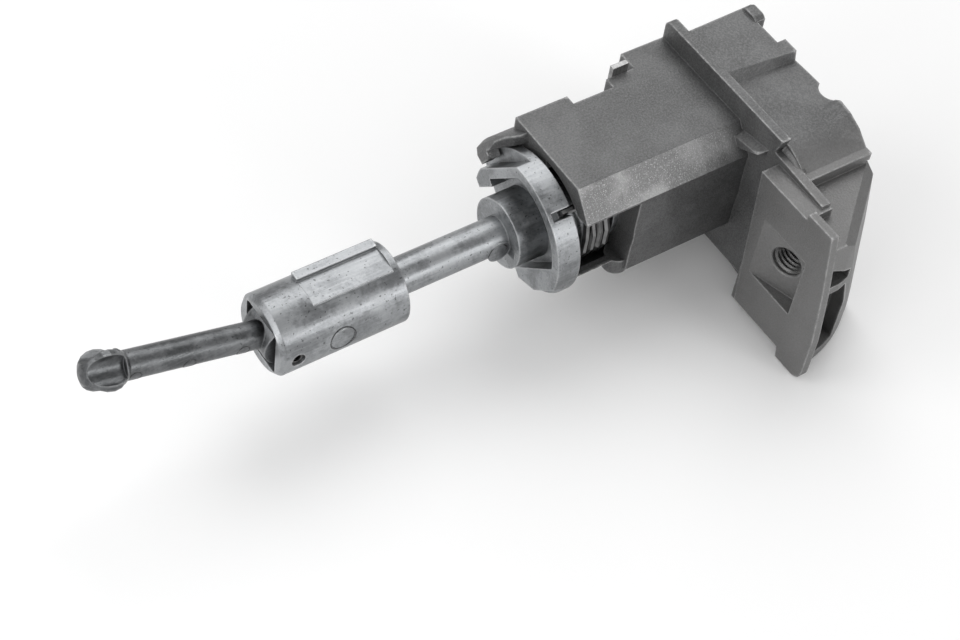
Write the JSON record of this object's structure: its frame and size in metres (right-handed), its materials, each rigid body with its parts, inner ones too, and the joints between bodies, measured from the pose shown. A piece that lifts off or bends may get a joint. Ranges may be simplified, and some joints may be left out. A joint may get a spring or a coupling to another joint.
{
  "type": "door lock cylinder",
  "caption": "Vehicle door lock cylinder: die-cast housing with screw tab, sprung turning plug, disc tail shaft and a pinned swinging end rod.",
  "frame": {"origin": "keyway mouth, in the middle of the plug's front face", "axes": "+X along the plug's axis towards the key, -X along the tail, +Z the top of the housing"},
  "size_m": [0.1411, 0.0571, 0.0407],
  "materials": {
    "zinc_body": "tumbled, matt",
    "zinc_tail": "bright as cast",
    "zinc_plug": "as cast",
    "pin_steel": "satin",
    "clip_steel": "satin",
    "spring_steel": "bright drawn",
    "cap_steel": "bright plated",
    "wafer_brass": "stamped",
    "seal_rubber": "matt"
  },
  "bodies": {
    "housing": {"lock_housing": "zinc_body", "plug_clip": "clip_steel", "return_spring": "spring_steel"},
    "plug_and_tail": {"plug": "zinc_plug", "face_cap": "cap_steel", "shutter_pin": "pin_steel", "shutter_spring": "spring_steel", "seal_ring": "seal_rubber", "tail_shaft": "zinc_tail", "wafer_1": "wafer_brass", "wafer_2": "wafer_brass", "wafer_3": "wafer_brass", "wafer_4": "wafer_brass", "wafer_5": "wafer_brass", "wafer_6": "wafer_brass", "wafer_7": "wafer_brass", "wafer_8": "wafer_brass", "wafer_spring_1": "spring_steel", "wafer_spring_2": "spring_steel", "wafer_spring_3": "spring_steel", "wafer_spring_4": "spring_steel", "wafer_spring_5": "spring_steel", "wafer_spring_6": "spring_steel", "wafer_spring_7": "spring_steel", "wafer_spring_8": "spring_steel"},
    "shutter": {"shutter_flap": "pin_steel"},
    "pin": {"cross_pin": "pin_steel"},
    "rod": {"end_rod": "zinc_tail"}
  },
  "joints": [
    {"name": "plug_turn", "type": "hinge", "parent": "housing", "child": "plug_and_tail", "pos_m": [0, 0, 0], "axis": [1, 0, 0], "range_deg": [-30, 30], "stiffness_Nm_per_rad": 0.25, "deforming": ["return_spring"]},
    {"name": "shutter_swing", "type": "hinge", "parent": "plug_and_tail", "child": "shutter", "pos_m": [-0.0013, 0.0025, 0], "axis": [0, 0, -1], "range_deg": [0, 80], "stiffness_Nm_per_rad": 0.0005, "deforming": ["shutter_spring"]},
    {"name": "end_rod_swing", "type": "hinge", "parent": "plug_and_tail", "child": "pin", "pos_m": [-0.1052, 0, 0], "axis": [0, 1, 0], "range_deg": [-43, 12]},
    {"name": "end_rod_rock", "type": "hinge", "parent": "pin", "child": "rod", "pos_m": [-0.1052, 0, 0], "axis": [0.2723, 0, 0.9622], "range_deg": [-5, 5]}
  ]
}
